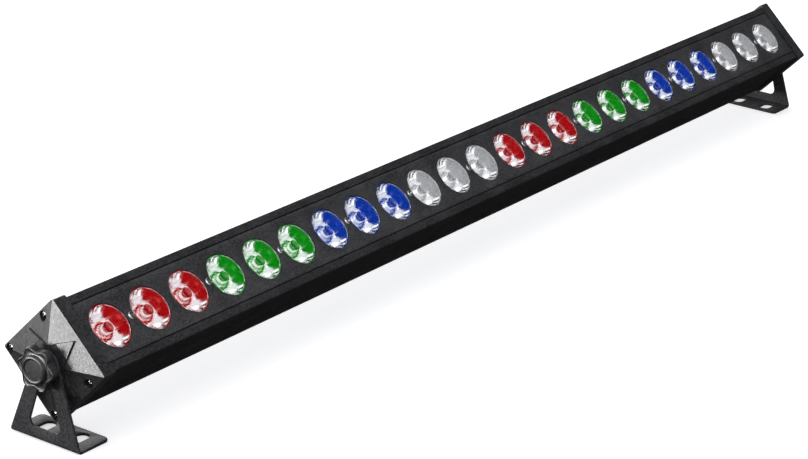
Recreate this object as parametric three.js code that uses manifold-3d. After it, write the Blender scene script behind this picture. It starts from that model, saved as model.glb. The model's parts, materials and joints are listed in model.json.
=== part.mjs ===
// LED strip batten: a one metre bar of 24 coloured lenses in a black extrusion, on two clamped feet.
// Millimetres, +Z up, +X along the bar. The origin is on the floor, under the middle of the bar.
// The light head is built in its own axes (X along the bar, Y up its face, Z out of its face) and
// leans back about the pivot; the brackets stand upright in the outer frame.

import * as THREE from 'three';
import { mergeVertices } from 'three/addons/utils/BufferGeometryUtils.js';
import Module from 'manifold-3d';

const wasm = await Module();
wasm.setup();

// ---------------------------------------------------------------- driving dimensions

const PIVOT_HEIGHT = 54.5;
const LEAN = THREE.MathUtils.degToRad(42.73);
const GAP = 0.3;

const LENS_COUNT = 24;
const PITCH = 40;
const ARRAY_SHIFT = -2.5;
const LENS_RADIUS = 15.8;
const LENS = { base: 12.8, baseRadius: 4.6, rimLow: 25.2, rimHigh: 27.8, crown: 29.3 };
const LENS_COLOURS = ['red', 'green', 'blue', 'white'];
const LENSES_PER_COLOUR = 3;

const CAP_PLANE = 495;
const CAP_HALF_WIDTH = 30.6;
const CAP_HALF_DEPTH = 30;
const CAP_CORNER = 2;
const CAP_SKIRT = 11.5;
const CAP_PLATE = 4;
const HUB_RISE = 5.6;
const HUB_HALF_WIDTH = 9.4;
const STAR_STEP = 1.3;
const STAR_TIP = 27;

const BODY_HALF_LENGTH = CAP_PLANE - CAP_PLATE - GAP;
const BODY_HALF_WIDTH = 28.8;
const BODY_FRONT = 28.3;
const BODY_BACK = -28.5;
const WALL = 2;
const PANEL_HALF_WIDTH = 22;
const PANEL_OPENING = 22.8;
const PANEL_THICKNESS = 1.5;
const PANEL_BED = 26.4;
const LEDGE_HALF_WIDTH = 20.5;
const LEDGE_UNDERSIDE = 24.6;
const WEB_TOP = 8;
const WEB_UNDERSIDE = 6;

const PORT_Y = 26.4;
const PORT_Z = [15.5, -26];
const PORT_RADIUS = 3.2;

const PORT_BORE = 1.6;
const POCKET = { radius: 3.4, depth: 1.8, holeRadius: 1.8 };
const SCREW = { length: 15.5, shankRadius: 1.2, headRadius: 2.8, headHeight: 2.2,
  crossReach: 1.6, crossHalfWidth: 0.35, crossDepth: 1.2 };
const WASHER = { inner: 4.4, outer: 9, recess: 0.8, from: 5.1, to: 6 };
const PLATE_INNER = 6.3;
const PLATE_THICKNESS = 2;
const PLATE_OUTER = PLATE_INNER + PLATE_THICKNESS;
const BOLT_RADIUS = 3.8;
const BORE_RADIUS = 4.2;
const KNOB_REAR = PLATE_OUTER + GAP;
const KNOB_FRONT = 20.3;
const KNOB_MEAN_RADIUS = 13.8;
const KNOB_LOBE = 1.5;
const KNOB_LOBES = 6;
const KNOB_PHASE = THREE.MathUtils.degToRad(20.2);
const KNOB_NECK = { radius: 10.5, length: 2.4 };
const KNOB_FACE = { collar: 10.2, shoulder: 2.1, chamferTop: 0.6, rimOuter: 9.6, rimTop: 8.8,
  discOuter: 7.8, discInner: 7.4, discDrop: 0.5 };
const KNOB_STUD_TOP = 14;
const BOLT_TAIL = 14;
const BOLT_CHAMFER = 0.8;

const FOOT_HALF_WIDTH = 29.3;
const FOOT_DEPTH = 30.3;
const EYE_RADIUS = 10.4;
const WINDOW = { sill: 9, sillHalfWidth: 14.2, sideSlope: 0.285, cornerRadius: 4.5, topCentre: 36 };
const SLOT = { length: 17, width: 9, y: 14, fromOuterFace: 17.2 };

const CONTROL = { halfLength: 55, halfWidth: 20, thickness: 1.2, openingX: 46, openingY: 14 };
const BUTTON = { count: 4, pitch: 12, firstX: 4, y: -6, radius: 3, rise: 1.4, edge: 0.7,
  stemRadius: 2, stemTop: -24 };
const DISPLAY = { x: -22, y: 0, halfLength: 17, halfWidth: 8 };
const SUPPLY = { x: [-440, -240], halfWidth: 21, z: [-22, 3], flange: 8, flangeHalfWidth: 14 };
const BOARD = { halfLength: 50, halfWidth: 18, z: [-16, -14.4] };
const INLET = { x: -170, halfLength: 24, halfWidth: 13, rise: 1.8, depth: 18, bodyX: 13.6, bodyY: 10.1,
  mouthX: 12.2, mouthY: 8.4, cornerX: 7.4, cornerY: 3.6, screwX: 20, screwRadius: 1.7 };
const BLADE = { pitch: 7, halfX: 1, halfY: 2, earthY: 2.4, poleY: -1.8, setBack: 9 };
const FUSE = { x: -222, rise: 3, radius: 7.2, edge: 0.6, neckRadius: 5.6, tail: -8, slotX: 5, slotY: 0.7,
  slotDepth: 1.2 };
const DMX = { inX: 150, outX: 190, halfX: 13, halfY: 15.5, rise: 2, barrelRadius: 11.8, tail: -10,
  holeRadius: 12.2, screwX: 9.5, screwY: 12, screwRadius: 1.6 };
const DMX_PIN = { reach: 4.6, pinRadius: 1.2, socketRadius: 1.4, setBack: 9, socketDepth: 8 };
const DMX_MOUTH = { radius: 9.4, floor: -12 };
const DMX_RING = { outer: 9.6, inner: 7.2, floor: -16 };
const LATCH = { halfX: 2.6, y: [9.2, 11.8], rise: 0.8, sunk: 1.7, wayHalfX: 3, wayY: [8.8, 12.2],
  wayDepth: 4 };

// ---------------------------------------------------------------- outlines

const point = (x, y) => new THREE.Vector2(x, y);

function arc(cx, cy, r, from, to, steps) {
  return Array.from({ length: steps + 1 }, (_, i) => {
    const angle = from + (to - from) * i / steps;
    return point(cx + r * Math.cos(angle), cy + r * Math.sin(angle));
  });
}

const circle = (cx, cy, r, steps) => arc(cx, cy, r, 0, 2 * Math.PI, steps).slice(0, -1);

function roundedBox(x0, x1, y0, y1, r, steps = 3) {
  const q = Math.PI / 2;
  return [
    ...arc(x1 - r, y0 + r, r, -q, 0, steps),
    ...arc(x1 - r, y1 - r, r, 0, q, steps),
    ...arc(x0 + r, y1 - r, r, q, 2 * q, steps),
    ...arc(x0 + r, y0 + r, r, 2 * q, 3 * q, steps),
  ];
}

function slotOutline(cx, cy, length, width, steps = 6) {
  const q = Math.PI / 2;
  const reach = (length - width) / 2;
  return [
    ...arc(cx + reach, cy, width / 2, -q, q, steps),
    ...arc(cx - reach, cy, width / 2, q, 3 * q, steps),
  ];
}

// ---------------------------------------------------------------- solids

function solid(geometry) {
  const bare = geometry.clone();
  bare.deleteAttribute('normal');
  bare.deleteAttribute('uv');
  const merged = mergeVertices(bare, 1e-4);
  const position = merged.attributes.position;
  const index = Array.from(merged.index.array);
  const triangles = [];
  for (let i = 0; i < index.length; i += 3) {
    const [a, b, c] = index.slice(i, i + 3);
    if (a !== b && b !== c && c !== a) triangles.push(a, b, c);
  }
  return new wasm.Manifold(new wasm.Mesh({
    numProp: 3,
    vertProperties: new Float32Array(position.array),
    triVerts: new Uint32Array(triangles),
  }));
}

function surface(body) {
  const mesh = body.getMesh();
  const geometry = new THREE.BufferGeometry();
  geometry.setAttribute('position', new THREE.BufferAttribute(mesh.vertProperties, 3));
  geometry.setIndex(new THREE.BufferAttribute(mesh.triVerts, 1));
  geometry.computeVertexNormals();
  return geometry;
}

function block([x0, x1], [y0, y1], [z0, z1]) {
  const geometry = new THREE.BoxGeometry(x1 - x0, y1 - y0, z1 - z0);
  geometry.translate((x0 + x1) / 2, (y0 + y1) / 2, (z0 + z1) / 2);
  return solid(geometry);
}

function extruded(outline, depth, holes = []) {
  const shape = new THREE.Shape(outline);
  shape.holes = holes.map((hole) => new THREE.Path(hole));
  return new THREE.ExtrudeGeometry(shape, { depth, bevelEnabled: false });
}

// An outline in (Y, Z), drawn out along X.
function alongX(outline, x0, x1, holes) {
  const geometry = extruded(outline, x1 - x0, holes);
  const axes = new THREE.Matrix4().makeBasis(
    new THREE.Vector3(0, 1, 0), new THREE.Vector3(0, 0, 1), new THREE.Vector3(1, 0, 0));
  geometry.applyMatrix4(axes);
  geometry.translate(x0, 0, 0);
  return solid(geometry);
}

// An outline in (X, Y), drawn out along Z.
function alongZ(outline, z0, z1, holes) {
  const geometry = extruded(outline, z1 - z0, holes);
  geometry.translate(0, 0, z0);
  return solid(geometry);
}

// A profile of [radius, height] points, turned about Z.
function turned(profile, steps) {
  const geometry = new THREE.LatheGeometry(profile.map(([r, z]) => point(r, z)), steps);
  geometry.rotateX(Math.PI / 2);
  return solid(geometry);
}

// The same, turned about X.
function turnedX(profile, steps, y = 0, z = 0) {
  const geometry = new THREE.LatheGeometry(profile.map(([r, x]) => point(r, x)), steps);
  geometry.rotateZ(-Math.PI / 2);
  geometry.translate(0, y, z);
  return solid(geometry);
}

// A round bar along X.
const rod = (radius, x0, x1, steps, y = 0, z = 0) =>
  turnedX([[0, x0], [radius, x0], [radius, x1], [0, x1]], steps, y, z);

// A square pyramid with its top cut off, rising along +X.
function frustum(x0, x1, halfWidth0, halfWidth1) {
  const toCorner = Math.SQRT2;
  const geometry = new THREE.CylinderGeometry(halfWidth1 * toCorner, halfWidth0 * toCorner, x1 - x0, 4);
  geometry.rotateY(Math.PI / 4);
  geometry.rotateZ(-Math.PI / 2);
  geometry.translate((x0 + x1) / 2, 0, 0);
  return solid(geometry);
}

const union = (parts) => parts.reduce((sum, part) => sum.add(part));

// Pieces at the two ends are built at the +X end, and mirrored for the -X end.
function mirroredX(geometry) {
  const mirror = geometry.clone();
  mirror.scale(-1, 1, 1);
  const index = mirror.index.array;
  for (let i = 0; i < index.length; i += 3) [index[i], index[i + 1]] = [index[i + 1], index[i]];
  mirror.computeVertexNormals();
  return mirror;
}

// ---------------------------------------------------------------- finishes

const FINISHES = {
  housing: [0x1c1c1e, 0.55, 0.3],
  panel: [0x2a2a2c, 0.6, 0.2],
  cap: [0x2e2e30, 0.5, 0],
  bracket: [0x333436, 0.5, 0.4],
  knob: [0x2c2c2e, 0.45, 0],
  steel: [0xb8babd, 0.3, 1],
  washer: [0x1a1a1a, 0.8, 0],
  red: [0xc00a14, 0.15, 0],
  green: [0x0aa014, 0.15, 0],
  blue: [0x0a32c0, 0.15, 0],
  white: [0xe4e6e8, 0.15, 0],
  board: [0xe8e8e4, 0.5, 0],
  circuit: [0x1d5c34, 0.5, 0],
  supply: [0xa8abae, 0.4, 0.9],
  smoked: [0x16181c, 0.15, 0],
  rubber: [0x3a3a3c, 0.8, 0],
  socket: [0x141416, 0.5, 0],
  latch: [0x9a9da0, 0.35, 1],
};

function piece(name, body, finish) {
  const [color, roughness, metalness] = FINISHES[finish];
  const material = new THREE.MeshStandardMaterial({ color, roughness, metalness });
  const geometry = body.isBufferGeometry ? body : surface(body);
  const mesh = new THREE.Mesh(geometry, material);
  mesh.name = name;
  return mesh;
}

// ---------------------------------------------------------------- the extruded housing

function screwPorts(radius, steps) {
  const ports = [];
  for (const z of PORT_Z) {
    for (const y of [-PORT_Y, PORT_Y]) {
      ports.push(alongX(circle(y, z, radius, steps), -BODY_HALF_LENGTH, BODY_HALF_LENGTH));
    }
  }
  return union(ports);
}

function coolingGrooves() {
  const count = 5;
  const spacing = 5;
  const depth = 0.8;
  const halfWidth = 0.9;
  const grooves = [];
  for (let i = 0; i < count; i++) {
    const z = -18 + i * spacing;
    for (const side of [-1, 1]) {
      const y = [side * BODY_HALF_WIDTH - depth, side * BODY_HALF_WIDTH + depth];
      grooves.push(block([-BODY_HALF_LENGTH, BODY_HALF_LENGTH], y, [z - halfWidth, z + halfWidth]));
    }
  }
  return union(grooves);
}

function housing() {
  const length = [-BODY_HALF_LENGTH, BODY_HALF_LENGTH];
  const through = [-BODY_HALF_LENGTH - 1, BODY_HALF_LENGTH + 1];
  const inner = BODY_HALF_WIDTH - WALL;
  const outline = roundedBox(-BODY_HALF_WIDTH, BODY_HALF_WIDTH, BODY_BACK, BODY_FRONT, 1.2);
  const outer = alongX(outline, ...length);
  const hollows = union([
    block(through, [-PANEL_OPENING, PANEL_OPENING], [PANEL_BED, BODY_FRONT + 1]),
    block(through, [-LEDGE_HALF_WIDTH, LEDGE_HALF_WIDTH], [LEDGE_UNDERSIDE, PANEL_BED + 0.1]),
    block(through, [-inner, inner], [WEB_TOP, LEDGE_UNDERSIDE + 0.1]),
    block(through, [-inner, inner], [BODY_BACK + WALL, WEB_UNDERSIDE]),
  ]);
  const backWall = [BODY_BACK - 1, BODY_BACK + WALL + 1];
  const { openingX, openingY } = CONTROL;
  const rearHoles = union([
    block([-openingX, openingX], [-openingY, openingY], backWall),
    block([INLET.x - INLET.bodyX - 0.4, INLET.x + INLET.bodyX + 0.4],
      [-INLET.bodyY - 0.4, INLET.bodyY + 0.4], backWall),
    alongZ(circle(FUSE.x, 0, FUSE.neckRadius + 0.9, 16), ...backWall),
    alongZ(circle(DMX.inX, 0, DMX.holeRadius, 24), ...backWall),
    alongZ(circle(DMX.outX, 0, DMX.holeRadius, 24), ...backWall),
  ]);
  const ports = screwPorts(PORT_RADIUS, 12).intersect(outer);
  return outer.subtract(hollows).add(ports).subtract(screwPorts(PORT_BORE, 8))
    .subtract(coolingGrooves()).subtract(rearHoles);
}

// ---------------------------------------------------------------- the face

const lensX = (i) => (i - (LENS_COUNT - 1) / 2) * PITCH + ARRAY_SHIFT;

function frontPanel() {
  const length = BODY_HALF_LENGTH - 0.5;
  const outline = roundedBox(-length, length, -PANEL_HALF_WIDTH, PANEL_HALF_WIDTH, 0.8, 1);
  const holes = [];
  for (let i = 0; i < LENS_COUNT; i++) {
    holes.push(circle(lensX(i), 0, LENS_RADIUS + 0.5, 20));
    if (i % 2 === 0) holes.push(circle(lensX(i) + PITCH / 2, 0, 1.5, 6));
  }
  const bed = PANEL_BED + GAP;
  return alongZ(outline, bed, bed + PANEL_THICKNESS, holes);
}

function lens(x) {
  const { base, baseRadius, rimLow, rimHigh, crown } = LENS;
  const cone = [[0, base], [baseRadius, base], [LENS_RADIUS, rimLow]];
  return turned([...cone, [LENS_RADIUS, rimHigh], [0, crown]], 16).translate([x, 0, 0]);
}

function ledBoard(half) {
  const middle = ARRAY_SHIFT + half * LENS_COUNT * PITCH / 4;
  const base = WEB_TOP + GAP;
  const perBoard = LENS_COUNT / 2;
  const parts = [block([middle - 238, middle + 238], [-20, 20], [base, base + 1.6])];
  for (let i = 0; i < perBoard; i++) {
    const x = middle + (i - (perBoard - 1) / 2) * PITCH;
    parts.push(block([x - 3.5, x + 3.5], [-3.5, 3.5], [base + 1, base + 4]));
  }
  return union(parts);
}

// ---------------------------------------------------------------- the end caps

function starOutline() {
  const corners = [];
  for (let quarter = 0; quarter < 4; quarter++) {
    const tip = quarter * Math.PI / 2;
    const inner = tip + Math.PI / 4;
    corners.push(point(STAR_TIP * Math.cos(tip), STAR_TIP * Math.sin(tip)));
    const reach = HUB_HALF_WIDTH * Math.SQRT2;
    corners.push(point(reach * Math.cos(inner), reach * Math.sin(inner)));
  }
  return corners;
}

function endCap() {
  const top = CAP_PLANE + HUB_RISE;
  const slope = (CAP_HALF_DEPTH - HUB_HALF_WIDTH) / HUB_RISE;
  const spread = STAR_STEP * slope;
  const [width, depth] = [CAP_HALF_WIDTH, CAP_HALF_DEPTH];
  const outline = roundedBox(-width, width, -depth, depth, CAP_CORNER);
  const rim = alongX(outline, CAP_PLANE - CAP_SKIRT, CAP_PLANE);
  const pyramid = frustum(CAP_PLANE - 0.1, top, CAP_HALF_DEPTH, HUB_HALF_WIDTH)
    .intersect(alongX(outline, CAP_PLANE - 1, top + 1));
  const star = alongX(starOutline(), CAP_PLANE - 1, top)
    .intersect(frustum(CAP_PLANE - 1, top, CAP_HALF_DEPTH + spread + slope, HUB_HALF_WIDTH + spread));
  const clear = BODY_HALF_WIDTH + GAP;
  const cavity = block([CAP_PLANE - CAP_SKIRT - 1, CAP_PLANE - CAP_PLATE],
    [-clear, clear], [BODY_BACK - GAP, BODY_FRONT + GAP]);
  const bore = rod(BOLT_RADIUS + GAP, CAP_PLANE - CAP_PLATE - 2, top + 1, 16);
  const seat = rod(WASHER.outer + 0.4, top - WASHER.recess, top + 1, 24);
  const pockets = [];
  const pocketFloor = CAP_PLANE - POCKET.depth;
  const profile = [[0, pocketFloor - CAP_PLATE], [POCKET.holeRadius, pocketFloor - CAP_PLATE],
    [POCKET.holeRadius, pocketFloor], [POCKET.radius, pocketFloor], [POCKET.radius, top], [0, top]];
  for (const z of PORT_Z) {
    for (const y of [-PORT_Y, PORT_Y]) pockets.push(turnedX(profile, 12, y, z));
  }
  return rim.add(pyramid).add(star).subtract(cavity).subtract(bore).subtract(seat).subtract(union(pockets));
}

function capScrew(y, z) {
  const { length, shankRadius, headRadius, headHeight, crossReach, crossHalfWidth, crossDepth } = SCREW;
  const seat = CAP_PLANE - POCKET.depth + GAP;
  const top = seat + headHeight;
  const tail = seat - length;
  const body = turnedX([[0, tail], [shankRadius, tail], [shankRadius, seat], [headRadius, seat],
    [headRadius, seat + headHeight / 2], [headRadius / 2, top], [0, top]], 10, y, z);
  const depth = [top - crossDepth, top + 1];
  const cross = block(depth, [y - crossReach, y + crossReach], [z - crossHalfWidth, z + crossHalfWidth])
    .add(block(depth, [y - crossHalfWidth, y + crossHalfWidth], [z - crossReach, z + crossReach]));
  return body.subtract(cross);
}

function frictionWasher() {
  const from = CAP_PLANE + WASHER.from;
  const to = CAP_PLANE + WASHER.to;
  return rod(WASHER.outer, from, to, 20).subtract(rod(WASHER.inner, from - 1, to + 1, 20));
}

// ---------------------------------------------------------------- brackets and knobs

// The upright tapers from the foot to a round eye, along the lines that touch both.
function bracketSide() {
  const half = FOOT_HALF_WIDTH;
  const drop = PIVOT_HEIGHT - PLATE_THICKNESS;
  const tangent = Math.acos(EYE_RADIUS / Math.hypot(half, drop)) - Math.atan2(drop, half);
  return [
    point(half, -1),
    point(half, PLATE_THICKNESS),
    ...arc(0, PIVOT_HEIGHT, EYE_RADIUS, tangent, Math.PI - tangent, 12),
    point(-half, PLATE_THICKNESS),
    point(-half, -1),
  ];
}

// A window with sloping sides, rounded where they meet the sill and where they meet each other.
function windowOutline() {
  const { sill, sillHalfWidth, sideSlope, cornerRadius, topCentre } = WINDOW;
  const side = Math.atan(sideSlope);
  const q = Math.PI / 2;
  const halfWidthAt = (z) => sillHalfWidth - sideSlope * (z - sill);
  const cornerZ = sill + cornerRadius;
  const cornerY = halfWidthAt(cornerZ) - cornerRadius / Math.cos(side);
  const topRadius = halfWidthAt(topCentre) * Math.cos(side);
  return [
    ...arc(cornerY, cornerZ, cornerRadius, -q, side, 5),
    ...arc(0, topCentre, topRadius, side, Math.PI - side, 6),
    ...arc(-cornerY, cornerZ, cornerRadius, Math.PI - side, 3 * q, 5),
  ];
}

function bracket() {
  const outer = CAP_PLANE + PLATE_OUTER;
  const inner = CAP_PLANE + PLATE_INNER;
  const bend = 3;
  const q = Math.PI / 2;
  const section = [
    point(outer - FOOT_DEPTH, 0),
    ...arc(outer - bend, bend, bend, -q, 0, 4),
    point(outer, 80),
    point(inner, 80),
    ...arc(inner - 1, PLATE_THICKNESS + 1, 1, 0, -q, 2),
    point(outer - FOOT_DEPTH, PLATE_THICKNESS),
  ];
  const profile = new THREE.Shape(section);
  const sheet = new THREE.ExtrudeGeometry(profile, { depth: 2 * FOOT_HALF_WIDTH, bevelEnabled: false });
  sheet.rotateX(q);
  sheet.translate(0, FOOT_HALF_WIDTH, 0);
  const plan = roundedBox(outer - FOOT_DEPTH, outer + 10, -FOOT_HALF_WIDTH, FOOT_HALF_WIDTH, 4);
  const slotX = outer - SLOT.fromOuterFace;
  const slots = [-1, 1].map((side) => {
    const slot = slotOutline(slotX, side * SLOT.y, SLOT.length, SLOT.width);
    return alongZ(slot, -1, PLATE_THICKNESS + 1);
  });
  const bore = rod(BORE_RADIUS, inner - 2, outer + 2, 16, 0, PIVOT_HEIGHT);
  return solid(sheet)
    .intersect(alongX(bracketSide(), outer - 40, outer + 1))
    .intersect(alongZ(plan, -1, 81))
    .subtract(alongX(windowOutline(), inner - 2, outer + 2))
    .subtract(union(slots))
    .subtract(bore);
}

function knobOutline() {
  const steps = KNOB_LOBES * 10;
  return Array.from({ length: steps }, (_, i) => {
    const angle = i * 2 * Math.PI / steps;
    const r = KNOB_MEAN_RADIUS + KNOB_LOBE * Math.cos(KNOB_LOBES * (angle - KNOB_PHASE));
    return point(r * Math.cos(angle), r * Math.sin(angle));
  });
}

function knob() {
  const rear = CAP_PLANE + KNOB_REAR;
  const front = CAP_PLANE + KNOB_FRONT;
  const { collar, shoulder: fall, chamferTop, rimOuter, rimTop } = KNOB_FACE;
  const { discOuter, discInner, discDrop } = KNOB_FACE;
  const shoulder = front - fall;
  const grip = alongX(knobOutline(), rear + KNOB_NECK.length, shoulder);
  const neck = rod(KNOB_NECK.radius, rear, rear + KNOB_NECK.length + 1, 24);
  const face = turnedX([[0, shoulder - 1], [collar, shoulder - 1], [collar, shoulder],
    [rimOuter, front - chamferTop], [rimTop, front], [discOuter, front],
    [discInner, front - discDrop], [0, front - discDrop]], 30);
  const stud = rod(BOLT_RADIUS + GAP, rear - 1, CAP_PLANE + KNOB_STUD_TOP + GAP, 12);
  return grip.add(neck).add(face).subtract(stud);
}

function knobBolt() {
  const tail = CAP_PLANE - BOLT_TAIL;
  const top = CAP_PLANE + KNOB_STUD_TOP;
  const start = [[0, tail], [BOLT_RADIUS - BOLT_CHAMFER, tail], [BOLT_RADIUS, tail + BOLT_CHAMFER]];
  return turnedX([...start, [BOLT_RADIUS, top], [0, top]], 12);
}

// ---------------------------------------------------------------- power and control

function powerSupply() {
  const { x, halfWidth, z, flange, flangeHalfWidth } = SUPPLY;
  const lid = 2;
  const waist = [z[0] + 10, z[0] + 16];
  return union([
    block(x, [-halfWidth, halfWidth], z),
    block([x[0] - flange, x[1] + flange], [-flangeHalfWidth, flangeHalfWidth], [z[1] - lid, z[1]]),
    block([x[0] + 20, x[1] - 20], [-halfWidth - 0.8, halfWidth + 0.8], waist),
  ]);
}

function controlBoard() {
  const { halfLength, halfWidth, z } = BOARD;
  const rest = z[0] + 1;
  const displayModule = block([-40, -6], [-7, 7], [-25.4, rest]);
  const processor = block([10, 26], [2, 12], [-18, rest]);
  const driver = block([30, 44], [2, 12], [-22, rest]);
  const keys = Array.from({ length: BUTTON.count }, (_, i) => {
    const x = BUTTON.firstX + i * BUTTON.pitch;
    return block([x - 3, x + 3], [BUTTON.y - 3, BUTTON.y + 3], [-22, rest]);
  });
  const board = block([-halfLength, halfLength], [-halfWidth, halfWidth], z);
  return union([board, displayModule, processor, driver, ...keys]);
}

const plateTop = BODY_BACK - GAP;
const plateFace = plateTop - CONTROL.thickness;

function controlPlate() {
  const { halfLength, halfWidth } = CONTROL;
  const outline = roundedBox(-halfLength, halfLength, -halfWidth, halfWidth, 2, 2);
  const { x, y, halfLength: dx, halfWidth: dy } = DISPLAY;
  const holes = [roundedBox(x - dx, x + dx, y - dy, y + dy, 1, 1)];
  for (let i = 0; i < BUTTON.count; i++) {
    holes.push(circle(BUTTON.firstX + i * BUTTON.pitch, BUTTON.y, BUTTON.radius + 0.4, 12));
  }
  return alongZ(outline, plateFace, plateTop, holes);
}

function displayWindow() {
  const { x, y, halfLength, halfWidth } = DISPLAY;
  const dx = halfLength - GAP;
  const dy = halfWidth - GAP;
  return alongZ(roundedBox(x - dx, x + dx, y - dy, y + dy, 0.8, 1), plateFace + 0.2, plateTop + 1);
}

function button(i) {
  const { radius, rise, edge, stemRadius, stemTop, firstX, pitch, y } = BUTTON;
  const out = plateFace - rise;
  const key = [[0, out], [radius - edge, out], [radius, out + edge], [radius, plateTop]];
  const stem = [[stemRadius, plateTop + 0.2], [stemRadius, stemTop], [0, stemTop]];
  return turned([...key, ...stem], 12).translate([firstX + i * pitch, y, 0]);
}

// The mouth of the mains inlet: a rectangle with two corners cut off.
function inletMouth() {
  const { x, mouthX, mouthY, cornerX, cornerY } = INLET;
  return [
    point(x - mouthX, -mouthY), point(x + mouthX, -mouthY), point(x + mouthX, cornerY),
    point(x + cornerX, mouthY), point(x - cornerX, mouthY), point(x - mouthX, cornerY),
  ];
}

function powerInlet() {
  const { x, halfLength, halfWidth, rise, depth, bodyX, bodyY, screwX, screwRadius } = INLET;
  const mouth = plateTop - rise;
  const floor = mouth + depth;
  const flange = roundedBox(x - halfLength, x + halfLength, -halfWidth, halfWidth, 3, 2);
  const shell = alongZ(flange, mouth, plateTop)
    .add(block([x - bodyX, x + bodyX], [-bodyY, bodyY], [mouth + 1, floor + 2]));
  const blades = [-1, 0, 1].map((side) => {
    const at = x + side * BLADE.pitch;
    const y = side === 0 ? BLADE.earthY : BLADE.poleY;
    return block([at - BLADE.halfX, at + BLADE.halfX], [y - BLADE.halfY, y + BLADE.halfY],
      [mouth + BLADE.setBack, floor + 1]);
  });
  const screwHoles = [-screwX, screwX].map((dx) =>
    alongZ(circle(x + dx, 0, screwRadius, 8), mouth - 1, plateTop + 1));
  return shell.subtract(alongZ(inletMouth(), mouth - 1, floor)).add(union(blades))
    .subtract(union(screwHoles));
}

function fuseCap() {
  const { x, rise, radius, edge, neckRadius, tail, slotX, slotY, slotDepth } = FUSE;
  const face = plateTop - rise;
  const head = [[0, face], [radius - edge, face], [radius, face + edge], [radius, plateTop]];
  const neck = [[neckRadius, plateTop], [neckRadius, tail], [0, tail]];
  return turned([...head, ...neck], 20)
    .subtract(block([-slotX, slotX], [-slotY, slotY], [face - 1, face + slotDepth]))
    .translate([x, 0, 0]);
}

const socketFace = plateTop - DMX.rise;

function socketFlange(x) {
  const { halfX, halfY, barrelRadius, tail, screwX, screwY, screwRadius } = DMX;
  const screwHoles = [-1, 1].map((side) =>
    alongZ(circle(x + side * screwX, side * screwY, screwRadius, 8), socketFace - 1, plateTop + 1));
  return alongZ(roundedBox(x - halfX, x + halfX, -halfY, halfY, 2, 2), socketFace, plateTop)
    .add(alongZ(circle(x, 0, barrelRadius, 16), socketFace + 1, tail))
    .subtract(union(screwHoles));
}

function socketPins(x, radius, from, to) {
  return union([-1, 0, 1].map((step) => {
    const angle = (step - 1) * Math.PI / 2;
    const [dx, dy] = [DMX_PIN.reach * Math.cos(angle), DMX_PIN.reach * Math.sin(angle)];
    return alongZ(circle(x + dx, dy, radius, 6), from, to);
  }));
}

function dmxIn() {
  const { radius, floor } = DMX_MOUTH;
  return socketFlange(DMX.inX)
    .subtract(alongZ(circle(DMX.inX, 0, radius, 16), socketFace - 1, floor))
    .add(socketPins(DMX.inX, DMX_PIN.pinRadius, socketFace + DMX_PIN.setBack, floor + 1));
}

function dmxOut() {
  const x = DMX.outX;
  const { outer, inner, floor } = DMX_RING;
  const ring = alongZ(circle(x, 0, outer, 16), socketFace - 1, floor, [circle(x, 0, inner, 16)]);
  const ways = socketPins(x, DMX_PIN.socketRadius, socketFace - 1, socketFace + DMX_PIN.socketDepth);
  const latchWay = block([x - LATCH.wayHalfX, x + LATCH.wayHalfX], LATCH.wayY,
    [socketFace - 1, socketFace + LATCH.wayDepth]);
  return socketFlange(x).subtract(ring).subtract(ways).subtract(latchWay);
}

function dmxLatch() {
  const x = DMX.outX;
  return block([x - LATCH.halfX, x + LATCH.halfX], LATCH.y,
    [socketFace - LATCH.rise, socketFace + LATCH.sunk]);
}

// ---------------------------------------------------------------- assembly

const assembly = new THREE.Group();
const head = new THREE.Group();
head.position.z = PIVOT_HEIGHT;
head.rotation.x = LEAN;
assembly.add(head);

head.add(piece('housing', housing(), 'housing'));
head.add(piece('front_panel', frontPanel(), 'panel'));
for (let i = 0; i < LENS_COUNT; i++) {
  const colour = LENS_COLOURS[Math.floor(i / LENSES_PER_COLOUR) % LENS_COLOURS.length];
  head.add(piece(`lens_${String(i + 1).padStart(2, '0')}`, lens(lensX(i)), colour));
}
head.add(piece('led_board_left', ledBoard(-1), 'board'));
head.add(piece('led_board_right', ledBoard(1), 'board'));

const screwPlaces = { front_top: [PORT_Y, PORT_Z[0]], front_low: [-PORT_Y, PORT_Z[0]],
  rear_top: [PORT_Y, PORT_Z[1]], rear_low: [-PORT_Y, PORT_Z[1]] };

const ends = { left: mirroredX, right: (geometry) => geometry };
for (const [end, place] of Object.entries(ends)) {
  head.add(piece(`end_cap_${end}`, place(surface(endCap())), 'cap'));
  head.add(piece(`friction_washer_${end}`, place(surface(frictionWasher())), 'washer'));
  head.add(piece(`knob_${end}`, place(surface(knob())), 'knob'));
  head.add(piece(`knob_bolt_${end}`, place(surface(knobBolt())), 'steel'));
  for (const [where, [y, z]] of Object.entries(screwPlaces)) {
    head.add(piece(`cap_screw_${end}_${where}`, place(surface(capScrew(y, z))), 'steel'));
  }
  assembly.add(piece(`bracket_${end}`, place(surface(bracket())), 'bracket'));
}

head.add(piece('power_supply', powerSupply(), 'supply'));
head.add(piece('control_board', controlBoard(), 'circuit'));
head.add(piece('control_plate', controlPlate(), 'panel'));
head.add(piece('display_window', displayWindow(), 'smoked'));
for (let i = 0; i < BUTTON.count; i++) head.add(piece(`menu_button_${i + 1}`, button(i), 'rubber'));
head.add(piece('power_inlet', powerInlet(), 'socket'));
head.add(piece('fuse_cap', fuseCap(), 'socket'));
head.add(piece('dmx_in', dmxIn(), 'socket'));
head.add(piece('dmx_out', dmxOut(), 'socket'));
head.add(piece('dmx_latch', dmxLatch(), 'latch'));

export default assembly;
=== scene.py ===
"""Looks of the LED strip batten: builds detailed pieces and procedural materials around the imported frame."""
import json
import math

import bmesh
import bpy
from mathutils import Matrix, Vector, geometry


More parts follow.
